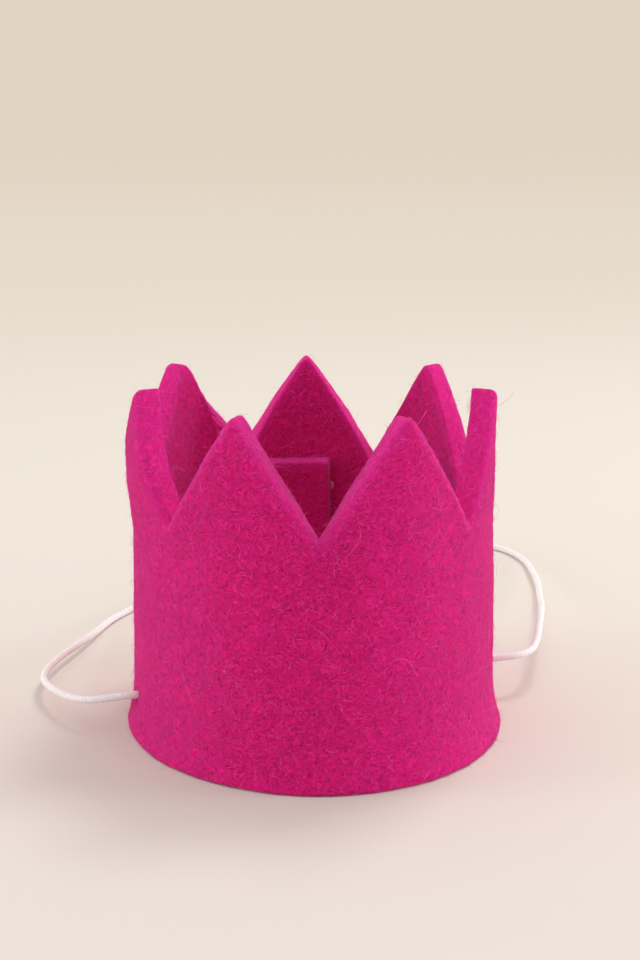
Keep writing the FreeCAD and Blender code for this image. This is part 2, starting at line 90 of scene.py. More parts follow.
@dataclass(frozen=True)
class BandShape:
    """The strip's shape: the band, the seam glue and the stray hairs are placed by it.

    Attributes:
        thickness: of the felt.
        base_radius: outside, on the table.
        wall_radius: outside, at the top of the flare.
        waist_radius: outside, at the bottom of the valleys.
        tip_radius: outside, at the tips.
        flare_height: height over which the foot spreads.
        valley_height: table to the bottom of a valley.
        tip_height: table to a tip.
        tip_soft: how far a tip is rounded off.
        flank_bulge: how far a flank swells between valley and tip.
        pitch: arc of one point, in degrees.
        tab_start: azimuth of the tab's end.
        lap: azimuth of the free end, one turn less.
        step: arc in which the strip steps outwards.
        layer_shift: from one layer of the lap to the other.
        oval_turn: turn of the oval from the front, in degrees.
        oval_straight: how far the ring is longer along that turn, as a share.
        oval_skewed: the same at 45 degrees to it.
        lean_from: height from which the points lean.
        bow_from: height from which they swell.
        leans: how each point stands.
    """

    thickness: float = 5.0
    base_radius: float = 38.0
    wall_radius: float = 36.1
    waist_radius: float = 35.4
    tip_radius: float = 35.8
    flare_height: float = 11.0
    valley_height: float = 46.5
    tip_height: float = 67.8
    tip_soft: float = 1.15
    flank_bulge: float = 0.3
    pitch: float = 360 / 7
    tab_start: float = 170.5
    lap: float = 180 + 180 / 7
    step: float = 22.0
    layer_shift: float = 5.3
    oval_turn: float = 2.28
    oval_straight: float = 0.0116
    oval_skewed: float = 0.0201
    lean_from: float = 30
    bow_from: float = 40
    leans: tuple[Lean, ...] = (
        Lean(180 / 7, 0.2, 0.4, 0.0),
        Lean(-180 / 7, -0.9, -0.5, 0.0),
        Lean(540 / 7, -0.1, 0.6, 0.35),
        Lean(-540 / 7, -0.8, -1.0, 0.7, 1.3),
        Lean(900 / 7, 0.2, 0.0, 0.0),
        Lean(-900 / 7, 2.0, -1.6, 0.0),
        Lean(180.0, -1.2, 0.0, -0.2),
    )

    @property
    def free_end(self) -> float:
        """Azimuth of the outer, free end along the strip."""
        return self.lap + 360

    def outer_radius(self, height: np.ndarray) -> np.ndarray:
        """Radius of the outer face at a height.

        Args:
            height: above the table.

        Returns:
            The radius for each height.
        """
        spread = self.base_radius - self.wall_radius
        curve = (spread**2 + self.flare_height**2) / (2 * spread)
        above = np.clip(self.flare_height - height, 0, self.flare_height)
        flare = curve - np.sqrt(curve**2 - above**2)
        wall = np.interp(
            height,
            (self.flare_height, self.valley_height, self.tip_height),
            (self.wall_radius, self.waist_radius, self.tip_radius),
        )
        return wall + flare

    def top(self, azimuth: np.ndarray) -> np.ndarray:
        """Height of the cut edge at an azimuth along the strip.

        Args:
            azimuth: along the strip, in degrees.

        Returns:
            The height for each azimuth.
        """
        half = math.radians(self.pitch / 2) * self.waist_radius
        from_tip = half - np.abs((azimuth / self.pitch + 0.5) % 1 - 0.5) * 2 * half
        apex = self.tip_height + self.tip_soft
        slope = (apex - self.valley_height) / half
        blunt = np.sqrt((slope * from_tip) ** 2 + self.tip_soft**2)
        share = from_tip / half
        bulge = self.flank_bulge * np.sin(math.pi * share)
        height = apex - blunt + bulge
        for lean in self.leans:
            away = (azimuth - lean.azimuth + 180) % 360 - 180
            height = height + lean.taller * np.clip(1 - np.abs(away) / (self.pitch / 2), 0, 1)
        return np.where(azimuth <= self.lap, self.valley_height, height)

    def place(self, azimuth: np.ndarray, depth: np.ndarray, height: np.ndarray) -> np.ndarray:
        """Turns strip coordinates into places.

        Args:
            azimuth: along the strip, in degrees.
            depth: below the outer face, from 0 to the thickness.
            height: above the table.

        Returns:
            One row of x, y, z in millimetres for each entry.
        """
        step = np.clip((azimuth - self.lap) / self.step, 0, 1)
        blend = np.where(step < 0.5, 2 * step**2, 1 - 2 * (1 - step) ** 2)
        slope = np.where(step < 0.5, 4 * step, 4 * (1 - step))
        middle = self.outer_radius(height) - self.thickness / 2 - self.layer_shift * (1 - blend)
        turn = math.radians(self.step)
        tilt = np.arctan(self.layer_shift * slope / turn / middle)
        angle = np.radians(azimuth)
        out = np.stack([np.sin(angle), -np.cos(angle)], -1)
        along = np.stack([np.cos(angle), np.sin(angle)], -1)
        normal = out * np.cos(tilt)[:, None] - along * np.sin(tilt)[:, None]
        flat = out * middle[:, None] + normal * (self.thickness / 2 - depth)[:, None]
        return self.settle(flat, height)

    def settle(self, flat: np.ndarray, height: np.ndarray) -> np.ndarray:
        """Takes even places to those of the hand-made ring, a little oval and with leaning points.

        Args:
            flat: rows of x and y on the even ring.
            height: above the table.

        Returns:
            One row of x, y, z for each entry.
        """
        angle = np.degrees(np.arctan2(flat[:, 0], -flat[:, 1]))
        seen = np.radians(2 * (angle + self.oval_turn))
        oval = 1 + self.oval_straight * np.cos(seen) + self.oval_skewed * np.sin(seen)
        outward = np.zeros_like(angle)
        sideways = np.zeros_like(angle)
        lift = np.clip(
            (height - self.lean_from) / (self.tip_height - self.lean_from), 0, 1.1
        ) ** 1.5
        risen = np.clip((height - self.bow_from) / (self.tip_height - self.bow_from), 0, 1)
        swell = np.sin(math.pi * risen)
        for lean in self.leans:
            away = (angle - lean.azimuth + 180) % 360 - 180
            near = np.clip(1 - (away / self.pitch) ** 2, 0, 1) ** 2
            outward += near * (lean.outward * lift + lean.bow * swell)
            sideways += lean.sideways * near * lift
        radians = np.radians(angle)
        out = np.stack([np.sin(radians), -np.cos(radians)], -1)
        along = np.stack([np.cos(radians), np.sin(radians)], -1)
        moved = flat * oval[:, None] + out * outward[:, None] + along * sideways[:, None]
        return np.column_stack([moved, height])


@dataclass(frozen=True)
class Palette:
    """Colours that several finishes share, in linear values."""

    felt: tuple[float, float, float] = (0.81, 0.004, 0.13)
    felt_dark: tuple[float, float, float] = (0.37, 0.0, 0.037)
    # felt_light is the pale tone of the loose fibres and also the colour of the painted highlight
    # on the cut edges.
    felt_light: tuple[float, float, float] = (1.0, 0.043, 0.45)
    fibre: tuple[float, float, float] = (1.0, 0.2, 0.62)
    floor: tuple[float, float, float] = (0.72, 0.675, 0.625)
    distant: tuple[float, float, float] = (0.755, 0.655, 0.545)
    cord: tuple[float, float, float] = (0.91, 0.86, 0.885)


class Tree:
    """A node tree that is filled by short calls."""

    def __init__(self, tree: bpy.types.NodeTree) -> None:
        self.tree = tree

    def add(
        self, kind: str, inputs: dict[object, object] | None = None, **options: object
    ) -> bpy.types.Node:
        """Adds a node.

        Args:
            kind: the node's type name.
            inputs: input name or number to a socket or a value.
            options: the node's own settings.

        Returns:
            The new node.
        """
        node = self.tree.nodes.new(kind)
        for name, value in options.items():
            setattr(node, name, value)
        self.fill(node, inputs or {})
        return node

    def fill(self, node: bpy.types.Node, inputs: dict[object, object]) -> None:
        """Sets a node's inputs.

        Args:
            node: the node.
            inputs: input name or number to a socket or a value.
        """
        for name, value in inputs.items():
            socket = node.inputs[name]
            if isinstance(value, bpy.types.NodeSocket):
                self.tree.links.new(value, socket)
            else:
                socket.default_value = value

    def vector(self, operation: str, first: object, second: object) -> bpy.types.NodeSocket:
        """Adds a vector math node.

        Args:
            operation: the node's operation.
            first: socket or vector.
            second: socket, vector, or the number of a SCALE.

        Returns:
            Its output.
        """
        other = "Scale" if operation == "SCALE" else 1
        node = self.add("ShaderNodeVectorMath", {0: first, other: second}, operation=operation)
        return node.outputs[0]

    def speckle(self, place: object, scale: float, detail: float) -> bpy.types.NodeSocket:
        """Adds a noise texture.

        Args:
            place: socket that it follows.
            scale: of its cells.
            detail: how many finer layers it has.

        Returns:
            Its value.
        """
        node = self.add("ShaderNodeTexNoise", {"Vector": place, "Scale": scale, "Detail": detail})
        return node.outputs["Fac"]

    def math(self, operation: str, *values: object, clamp: bool = False) -> bpy.types.NodeSocket:
        """Adds a math node.

        Args:
            operation: the node's operation.
            values: sockets or numbers.
            clamp: whether the result is kept from 0 to 1.

        Returns:
            Its output.
        """
        node = self.add(
            "ShaderNodeMath", dict(enumerate(values)), operation=operation, use_clamp=clamp
        )
        return node.outputs[0]

    def mix(self, factor: object, first: object, second: object) -> bpy.types.NodeSocket:
        """Mixes two colours.

        Args:
            factor: socket or number.
            first: colour at 0.
            second: colour at 1.

        Returns:
            The mixed colour.
        """
        node = self.add("ShaderNodeMix", {0: factor, 6: first, 7: second}, data_type="RGBA")
        return node.outputs[2]

    def ramp(self, value: bpy.types.NodeSocket, low: float, high: float) -> bpy.types.NodeSocket:
        """Spreads a range over 0 to 1, smoothly.

        Args:
            value: what is spread.
            low: value that becomes 0.
            high: value that becomes 1.

        Returns:
            The spread value.
        """
        node = self.add(
            "ShaderNodeMapRange", {0: value, 1: low, 2: high}, interpolation_type="SMOOTHSTEP"
        )
        return node.outputs[0]


def color(rgb: Sequence[float]) -> tuple[float, float, float, float]:
    """Adds full alpha to a colour.

    Args:
        rgb: three linear values.

    Returns:
        Four values.
    """
    return (*rgb, 1.0)


@dataclass(frozen=True)
class FibreWeb:
    """Pressed wool seen close: crossing, curling fibres over uneven clumps.

    Attributes:
        name: of the node group.
    """

    name: str = "fibre_web"

    def group(self) -> bpy.types.ShaderNodeTree:
        """Builds the group once.

        Returns:
            A group with inputs Scale and Curl, and outputs Fibres, Clumps and Height.
        """
        known = bpy.data.node_groups.get(self.name)
        if known:
            return known
        group = bpy.data.node_groups.new(self.name, "ShaderNodeTree")
        face = group.interface
        for name, value in (("Scale", 1.0), ("Curl", 1.0)):
            socket = face.new_socket(name=name, in_out="INPUT", socket_type=Socket.NUMBER.value)
            socket.default_value = value
        for name in ("Fibres", "Clumps", "Height"):
            face.new_socket(name=name, in_out="OUTPUT", socket_type=Socket.NUMBER.value)
        tree = Tree(group)
        given = tree.add("NodeGroupInput")
        place = tree.add("ShaderNodeTexCoord").outputs["Object"]
        scaled = tree.vector("SCALE", place, given.outputs["Scale"])
        bend = tree.add("ShaderNodeTexNoise", {"Vector": scaled, "Scale": 420.0, "Detail": 2.0})
        centred = tree.vector("SUBTRACT", bend.outputs["Color"], (0.5, 0.5, 0.5))
        strength = tree.math("MULTIPLY", given.outputs["Curl"], 0.0036)
        bent = tree.vector("ADD", scaled, tree.vector("SCALE", centred, strength))
        strands = None
        for turn, stretch in (
            ((0.3, 0.5, 0.2), (330.0, 2900.0, 2900.0)),
            ((1.1, -0.6, 1.9), (380.0, 3300.0, 3300.0)),
            ((-0.8, 1.3, 0.9), (300.0, 2700.0, 2700.0)),
            ((2.2, 0.2, -1.2), (420.0, 3600.0, 3600.0)),
            ((0.1, 1.5, 0.4), (350.0, 3100.0, 3100.0)),
            ((0.9, 0.9, -2.4), (310.0, 2600.0, 2600.0)),
        ):
            mapped = tree.add(
                "ShaderNodeMapping",
                {"Vector": bent, "Rotation": turn, "Scale": stretch},
                vector_type="POINT",
            )
            streak = tree.speckle(mapped.outputs[0], 1.0, 1.0)
            ridge = tree.math("ABSOLUTE", tree.math("SUBTRACT", streak, 0.5))
            line = tree.ramp(ridge, 0.045, 0.0)
            strands = line if strands is None else tree.math("MAXIMUM", strands, line)
        clumps = tree.add(
            "ShaderNodeTexNoise", {"Vector": bent, "Scale": 1250.0, "Detail": 3.0, "Roughness": 0.6}
        )
        clump = tree.ramp(clumps.outputs["Fac"], 0.27, 0.58)
        height = tree.math(
            "ADD", tree.math("MULTIPLY", strands, 0.55), tree.math("MULTIPLY", clump, 0.6)
        )
        tree.add("NodeGroupOutput", {"Fibres": strands, "Clumps": clump, "Height": height})
        return group


@dataclass(frozen=True)
class Finish:
    """A material that is built once.

    Attributes:
        palette: shared colours.
        name: of the material.
    """

    palette: Palette = Palette()
    name: str = "finish"

    def material(self) -> bpy.types.Material:
        """Builds the material, or finds it again.

        Returns:
            The material.
        """
        known = bpy.data.materials.get(self.name)
        if known:
            return known
        result = bpy.data.materials.new(self.name)
        result.use_nodes = True
        shader = next(node for node in result.node_tree.nodes if node.type == "BSDF_PRINCIPLED")
        self.dress(Tree(result.node_tree), shader)
        return result

    def dress(self, tree: Tree, shader: bpy.types.Node) -> None:
        """Fills the material's tree.

        Args:
            tree: of the material.
            shader: its Principled shader.
        """
        raise NotImplementedError


@dataclass(frozen=True)
class FeltFinish(Finish):
    """Magenta wool felt: deep colour between the fibres, and a painted highlight along the top cut
    edges.
    """

    name: str = "magenta_felt"

    def dress(self, tree: Tree, shader: bpy.types.Node) -> None:
        """Fills the material's tree.

        Args:
            tree: of the material.
            shader: its Principled shader.
        """
        web = tree.add("ShaderNodeGroup", {"Scale": 1.0, "Curl": 1.0}, node_tree=FibreWeb().group())
        place = tree.add("ShaderNodeTexCoord").outputs["Object"]
        broad = tree.speckle(place, 90.0, 2.0)
        edge = tree.add("ShaderNodeAttribute", {}, attribute_name="cut_edge").outputs["Fac"]
        deep = tuple(0.86 * c for c in self.palette.felt)
        low = tree.mix(tree.ramp(broad, 0.3, 0.7), color(deep), color(self.palette.felt))
        body = tree.mix(web.outputs["Clumps"], color(self.palette.felt_dark), low)
        lit = tree.mix(
            tree.math("MULTIPLY", web.outputs["Fibres"], 0.5), body, color(self.palette.felt_light)
        )
        # Painted highlight: the felt is lightened towards the top cut edges, where light from above
        # falls on them.
        rim = tree.math("MULTIPLY", tree.ramp(edge, 0.25, 0.75), 0.3)
        edge_highlight = tree.mix(rim, lit, color(self.palette.felt_light))
        bump = tree.add(
            "ShaderNodeBump", {"Height": web.outputs["Height"], "Strength": 0.7, "Distance": 0.0002}
        )
        tree.fill(shader, {
            "Base Color": edge_highlight,
            "Normal": bump.outputs[0],
            "Roughness": 0.95,
            "Specular IOR Level": 0.05,
            "Sheen Weight": 0.9,
            "Sheen Roughness": 0.08,
            "Sheen Tint": color((1.0, 0.33, 1.0)),
        })


@dataclass(frozen=True)
class FibreFinish(Finish):
    """Loose fibres that stand off the felt."""

    name: str = "loose_fibre"

    def dress(self, tree: Tree, shader: bpy.types.Node) -> None:
        """Fills the material's tree.

        Args:
            tree: of the material.
            shader: its Principled shader.
        """
        place = tree.add("ShaderNodeTexCoord").outputs["Object"]
        tint = tree.speckle(place, 700.0, 1.0)
        shade = tree.mix(
            tree.ramp(tint, 0.3, 0.7), color(self.palette.felt_light), color(self.palette.fibre)
        )
        tree.fill(shader, {"Base Color": shade, "Roughness": 0.8, "Specular IOR Level": 0.1})


@dataclass(frozen=True)
class ElasticFinish(Finish):
    """White braided cover: fine crossing yarns, with painted shade that greys the grooves a little.
    """

    name: str = "white_elastic"

    def dress(self, tree: Tree, shader: bpy.types.Node) -> None:
        """Fills the material's tree.

        Args:
            tree: of the material.
            shader: its Principled shader.
        """
        place = tree.add("ShaderNodeTexCoord").outputs["Object"]
        cells = tree.add(
            "ShaderNodeTexVoronoi", {"Vector": place, "Scale": 2600.0}, feature="SMOOTH_F1"
        )
        yarn = tree.ramp(cells.outputs["Distance"], 0.65, 0.1)
        soft = tree.speckle(place, 1500.0, 2.0)
        # Painted shade: the grooves between the yarns are a little darker than the cord's white.
        groove_shade = tuple(0.84 * c for c in self.palette.cord)
        tone = tree.mix(yarn, color(groove_shade), color(self.palette.cord))
        height = tree.math("ADD", yarn, tree.math("MULTIPLY", soft, 0.4))
        bump = tree.add("ShaderNodeBump", {"Height": height, "Strength": 0.4, "Distance": 0.00008})
        tree.fill(shader, {
            "Base Color": tone,
            "Normal": bump.outputs[0],
            "Roughness": 0.7,
            "Sheen Weight": 0.2,
        })


@dataclass(frozen=True)
class GlueFinish(Finish):
    """Hot-melt glue, cloudy and a little glossy."""

    name: str = "clear_glue"

    def dress(self, tree: Tree, shader: bpy.types.Node) -> None:
        """Fills the material's tree.

        Args:
            tree: of the material.
            shader: its Principled shader.
        """
        place = tree.add("ShaderNodeTexCoord").outputs["Object"]
        cloud = tree.speckle(place, 500.0, 3.0)
        tone = tree.mix(cloud, color((0.58, 0.14, 0.26)), color((0.82, 0.36, 0.46)))
        bump = tree.add("ShaderNodeBump", {"Height": cloud, "Strength": 0.4, "Distance": 0.0002})
        tree.fill(shader, {"Base Color": tone, "Normal": bump.outputs[0], "Roughness": 0.3})


@dataclass(frozen=True)
class FloorFinish(Finish):
    """Plain cream paper sweep; from a little behind the object it is a painted glow, which darkens
    far behind.

    Attributes:
        near_glow: colour of the painted glow just behind the object.
    """

    near_glow: tuple[float, float, float] = (0.815, 0.73, 0.62)
    name: str = "cream_sweep"

    def dress(self, tree: Tree, shader: bpy.types.Node) -> None:
        """Fills the material's tree.

        Args:
            tree: of the material.
            shader: its Principled shader.
        """
        place = tree.add("ShaderNodeTexCoord").outputs["Object"]
        away = tree.add("ShaderNodeSeparateXYZ", {0: place}).outputs["Y"]
        tone = color(self.palette.floor)
        # Painted light: from behind the object the sweep glows instead of being lit, and darkens
        # far behind.
        behind = tree.ramp(away, 0.15, 0.75)
        glow = tree.mix(
            tree.ramp(away, 0.2, 2.0), color(self.near_glow), color(self.palette.distant)
        )
        grain = tree.speckle(place, 300.0, 3.0)
        bump = tree.add("ShaderNodeBump", {"Height": grain, "Strength": 0.05, "Distance": 0.0002})
        tree.fill(shader, {
            "Base Color": tone,
            "Normal": bump.outputs[0],
            "Roughness": 0.9,
            "Specular IOR Level": 0.2,
        })
        lit = tree.add("ShaderNodeEmission", {"Color": glow})
        both = tree.add("ShaderNodeMixShader", {0: behind, 1: shader.outputs[0], 2: lit.outputs[0]})
        output = next(node for node in tree.tree.nodes if node.type == "OUTPUT_MATERIAL")
        tree.tree.links.new(both.outputs[0], output.inputs["Surface"])


def add_object(name: str, data: bpy.types.ID, material: bpy.types.Material) -> bpy.types.Object:
    """Adds an object at the origin with one material.

    Args:
        name: of the object.
        data: its mesh or curve.
        material: its only material.

    Returns:
        The object.
    """
    made = bpy.data.objects.new(name, data)
    bpy.context.collection.objects.link(made)
    data.materials.clear()
    data.materials.append(material)
    return made


def make_mesh(
    name: str, points: np.ndarray, faces: Sequence[Sequence[int]], smooth: bool = True
) -> bpy.types.Mesh:
    """Makes a mesh with its faces outwards.

    Args:
        name: of the mesh.
        points: rows in millimetres.
        faces: rows of point numbers.
        smooth: whether it is shaded smooth.

    Returns:
        The mesh, in metres.
    """
    mesh = bpy.data.meshes.new(name)
    mesh.from_pydata(
        (np.asarray(points) * MM).tolist(), [], [list(map(int, face)) for face in faces]
    )
    work = bmesh.new()
    work.from_mesh(mesh)
    bmesh.ops.recalc_face_normals(work, faces=work.faces)
    work.to_mesh(mesh)
    work.free()
    mesh.polygons.foreach_set("use_smooth", [smooth] * len(mesh.polygons))
    mesh.update()
    return mesh


def roughen(mesh: bpy.types.Mesh, grain: Callable[[Vector], float]) -> None:
    """Moves a mesh's points along their normals, but never below the table.

    Args:
        mesh: the mesh.
        grain: gives the displacement for a place, both in millimetres.
    """
    count = len(mesh.vertices)
    places = np.empty(count * 3, np.float32)
    normals = np.empty(count * 3, np.float32)
    mesh.vertices.foreach_get("co", places)
    mesh.vertex_normals.foreach_get("vector", normals)
    places = places.reshape(-1, 3)
    shift = np.array([grain(Vector(place)) for place in places / MM])
    places = places + normals.reshape(-1, 3) * shift[:, None] * MM
    places[:, 2] = np.maximum(places[:, 2], 0.0)
    mesh.vertices.foreach_set("co", places.astype(np.float32).ravel())
    mesh.update()


def settle_piece(piece: bpy.types.Object, nodes: Sequence[str] = ()) -> bpy.types.Object:
    """Ties a piece to the body and to what it replaces.

    Args:
        piece: the object.
        nodes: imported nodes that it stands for.

    Returns:
        The same object.
    """
    if nodes:
        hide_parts(*nodes)
    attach(piece, "root")
    log.info("%s is made and replaces %s", piece.name, ", ".join(nodes) or "nothing")
    return piece


def plain_mesh(source: bpy.types.Object, name: str) -> bpy.types.Mesh:
    """Bakes an object with its modifiers.

    Args:
        source: the object.
        name: of the new mesh.

    Returns:
        The baked mesh.
    """
    graph = bpy.context.evaluated_depsgraph_get()
    mesh = bpy.data.meshes.new_from_object(source.evaluated_get(graph))
    mesh.name = name
    return mesh


def skin(count: int, size: int) -> list[tuple[int, ...]]:
    """Lists the faces between closed loops that follow each other.

    Args:
        count: number of loops.
        size: places in one loop.

    Returns:
        Point numbers of each face.
    """
    faces = []
    for k in range(count - 1):
        for j in range(size):
            n = (j + 1) % size
            faces.append((k * size + j, k * size + n, (k + 1) * size + n, (k + 1) * size + j))
    return faces


def round_line(
    name: str, lines: Sequence[Sequence[Sequence[float]]], radius: float, detail: int, sides: int
) -> bpy.types.Curve:
    """Makes a round line from smooth splines.

    Args:
        name: of the curve.
        lines: for each spline, its control points in metres.
        radius: in metres.
        detail: steps between two control points.
        sides: bevel steps of its section.

    Returns:
        The curve.
    """
    curve = bpy.data.curves.new(name, "CURVE")
    curve.dimensions = "3D"
    for line in lines:
        spline = curve.splines.new("NURBS")
        spline.points.add(len(line) - 1)
        for point, place in zip(spline.points, line):
            point.co = (*place, 1.0)
        spline.order_u = 3
        spline.use_endpoint_u = True
    curve.resolution_u = detail
    curve.bevel_depth = radius
    curve.bevel_resolution = sides
    curve.use_fill_caps = True
    return curve


def baked_line(curve: bpy.types.Curve, name: str) -> bpy.types.Mesh:
    """Turns a round line into a mesh.

    Args:
        curve: the line.
        name: of the mesh.

    Returns:
        The mesh.
    """
    temporary = bpy.data.objects.new(f"{name}_line", curve)
    bpy.context.collection.objects.link(temporary)
    mesh = plain_mesh(temporary, name)
    bpy.data.objects.remove(temporary)
    return mesh


@dataclass
class FeltBand:
    """The felt strip: rolled, lapped, with soft cut edges and two punched holes.

    Attributes:
        shape: where the strip runs.
        finish: its material.
        columns: mesh columns in half a point.
        rows: mesh rows up each face.
        round_outer: rounding of the outer top edge.
        round_inner: rounding of the inner top edge.
        round_foot: rounding of the lower edges.
        rim_width: how far below a cut edge the painted highlight lightens the felt.
        edge_swell: how far each face stands out at a cut edge.
        end_round: rounding of the strip's two ends.
        end_gap: arc without columns at each end, in degrees.
        tab_radius: radius at which the tab's end is rounded.
        free_radius: radius at which the free end is rounded.
        middle_radius: radius for measuring flat lengths; not used.
        hole_height: table to the holes.
        hole_azimuth: of the left hole.
        hole_radius: of the holes.
    """

    shape: BandShape
    finish: FeltFinish = FeltFinish()
    columns: int = 30
    rows: int = 84
    round_outer: float = 1.9
    round_inner: float = 0.7
    round_foot: float = 0.9
    rim_width: float = 3.0
    edge_swell: float = 0.25
    end_round: float = 0.75
    end_gap: float = 1.6
    tab_radius: float = 30.8
    free_radius: float = 35.8
    middle_radius: float = 33.0
    hole_height: float = 8.2
    hole_azimuth: float = -540 / 7
    hole_radius: float = 0.86

    def section(
        self, top: float, slope: float, inset: float
    ) -> tuple[np.ndarray, np.ndarray, np.ndarray]:
        """The closed line round the strip's cut, from the foot's middle up the outside.

        Args:
            top: height of the cut edge.
            slope: rise of the edge along the strip.
            inset: how far the line is drawn in, near the strip's two ends.

        Returns:
            Depths, heights and how near each place is to a cut edge.
        """
        low, high = inset, top - inset
        near, far = inset, self.shape.thickness - inset
        steep = math.sqrt(1 + slope**2)
        outer = max(self.round_outer - inset, 0.1)
        inner = max(self.round_inner - inset, 0.1)
        foot = max(self.round_foot - inset, 0.1)
        quarter = np.linspace(0, math.pi / 2, 6)
        depth = [np.linspace((near + far) / 2, near + foot, 4)[:-1]]
        height = [np.full(3, low)]
        depth.append(near + foot * (1 - np.sin(quarter)))
        height.append(low + foot * (1 - np.cos(quarter)))
        rows = np.linspace(0, 1, self.rows + 2)[1:-1]
        depth.append(np.full(self.rows, near))
        height.append(low + foot + rows * (high - outer * steep - low - foot))
        depth.append(near + outer * (1 - np.cos(quarter)))
        height.append(high - outer * steep * (1 - np.sin(quarter)))
        depth.append(np.linspace(near + outer, far - inner, 6)[1:-1])
        height.append(np.full(4, high))
        depth.append(far - inner * (1 - np.sin(quarter)))
        height.append(high - inner * steep * (1 - np.cos(quarter)))
        depth.append(np.full(self.rows, far))
        height.append(high - inner * steep - rows * (high - inner * steep - low - foot))
        depth.append(far - foot * (1 - np.cos(quarter)))
        height.append(low + foot * (1 - np.sin(quarter)))
        depth.append(np.linspace(far - foot, (near + far) / 2, 4)[1:-1])
        height.append(np.full(2, low))
        depths, heights = np.concatenate(depth), np.concatenate(height)
        swell = self.edge_swell * np.clip(1 - (top - heights) / self.rim_width, 0, 1) ** 2
        depths = depths + swell * (depths / self.shape.thickness * 2 - 1)
        rim = np.clip(1 - (top - heights) / steep / self.rim_width, 0, 1)
        return depths, heights, rim

    def stations(self) -> tuple[np.ndarray, np.ndarray]:
        """Azimuths of the columns along the strip, with how far each is drawn in.

        Returns:
            Azimuths and insets.
        """
        shape = self.shape
        fine = shape.pitch / 2 / self.columns
        first = math.ceil((shape.tab_start + self.end_gap) / fine)
        last = math.floor((shape.free_end - self.end_gap) / fine)
        azimuth = list(np.arange(first, last + 1) * fine)
        inset = [0.0] * len(azimuth)
        ends = ((shape.tab_start, -1, self.tab_radius), (shape.free_end, 1, self.free_radius))
        for end, way, radius in ends:
            for k in range(1, 6):
                turn = k / 5 * math.pi / 2
                back = self.end_round * (1 - math.sin(turn))
                azimuth.append(end - way * math.degrees(back / radius))
                inset.append(self.end_round * (1 - math.cos(turn)))
        order = np.argsort(azimuth)
        return np.array(azimuth)[order], np.array(inset)[order]

    def grain(self, place: Vector) -> float:
        """Unevenness of the felt's face.

        Args:
            place: in millimetres.

        Returns:
            Outward displacement in millimetres.
        """
        broad = noise.noise(place * 0.11) * 0.22
        clump = noise.noise(place * 0.55 + Vector((7, 3, 1))) * 0.09
        fine = noise.noise(place * 1.3 + Vector((1, 9, 4))) * 0.06
        return broad + clump + fine

    def make(self) -> bpy.types.Object:
        """Builds the band.

        Returns:
            The band's object.
        """
        azimuth, inset = self.stations()
        top = self.shape.top(azimuth)
        slope = np.gradient(top, np.radians(azimuth) * self.shape.waist_radius)
        loops = []
        rims = []
        for a, t, s, i in zip(azimuth, top, slope, inset):
            depth, height, rim = self.section(t, s, i)
            loops.append(self.shape.place(np.full(len(depth), a), depth, height))
            rims.append(rim)
        size = len(loops[0])
        points = np.concatenate(loops)
        faces = skin(len(loops), size)
        for start in (0, (len(loops) - 1) * size):
            for j in range(size // 2 - 1):
                a, b = start + j + 1, start + j + 2 if j + 2 < size else start
                c, d = start + size - 2 - j, start + size - 1 - j
                if len({a, b, c, d}) == 4:
                    faces.append((a, b, c, d))
            faces.append((start, start + 1, start + size - 1))
        self.punch(points, faces, azimuth, size)
        mesh = make_mesh("felt_strip", points, faces)
        # cut_edge is the mask of the painted highlight along the top cut edges.
        rim = mesh.attributes.new("cut_edge", "FLOAT", "POINT")
        rim.data.foreach_set("value", np.concatenate(rims).astype(np.float32))
        roughen(mesh, self.grain)
        band = add_object("felt_strip", mesh, self.finish.material())
        return settle_piece(band, ["felt_band"])

    def punch(
        self, points: np.ndarray, faces: list[tuple[int, ...]], azimuth: np.ndarray, size: int
    ) -> None:
        """Opens the two holes: leaves out a block of cells on both faces and lines the gap.

        Args:
            points: the band's places, moved here to the holes' rims.
            faces: the band's faces, changed here.
            azimuth: of the columns.
            size: places in one column.
        """
        for side in (0.0, 180.0):
            target = self.hole_azimuth + side + 360
            column = int(np.argmin(np.abs(azimuth - target)))
            half = size // 2
            heights = points[column * size : column * size + half, 2]
            row = int(np.argmin(np.abs(heights - self.hole_height)))
            if heights[row] < self.hole_height:
                low, high = row - 1, row + 2
            else:
                low, high = row - 2, row + 1
            first, last = column - 2, column + 2
            gone = set()
            for k in range(first, last):
                for j in range(low, high):
                    gone.add((k, j))
                    gone.add((k, size - 1 - j))
            kept = [face for face in faces if self.cell(face, size) not in gone]
            faces[:] = kept
            ring = [(k, low) for k in range(first, last)] + [(last, j) for j in range(low, high)]
            ring += [
                (k, high) for k in range(last, first, -1)
            ] + [(first, j) for j in range(high, low, -1)]
            angle = math.radians(azimuth[column])
            along = np.array([math.cos(angle), math.sin(angle), 0.0])
            for k, j in ring:
                for index in (k * size + j, k * size + (size - j) % size):
                    across = float(points[index] @ along)
                    up = points[index, 2] - self.hole_height
                    grow = self.hole_radius / math.hypot(across, up)
                    points[index] += along * across * (grow - 1)
                    points[index, 2] += up * (grow - 1)
            for (k, j), (m, n) in zip(ring, ring[1:] + ring[:1]):
                faces.append((k * size + j, m * size + n, m * size + size - n, k * size + size - j))

    @staticmethod
    def cell(face: tuple[int, ...], size: int) -> tuple[int, int]:
        """Column and row of a face.

        Args:
            face: point numbers, the first of which names the cell.
            size: places in one column.

        Returns:
            Column and row.
        """
        return face[0] // size, face[0] % size


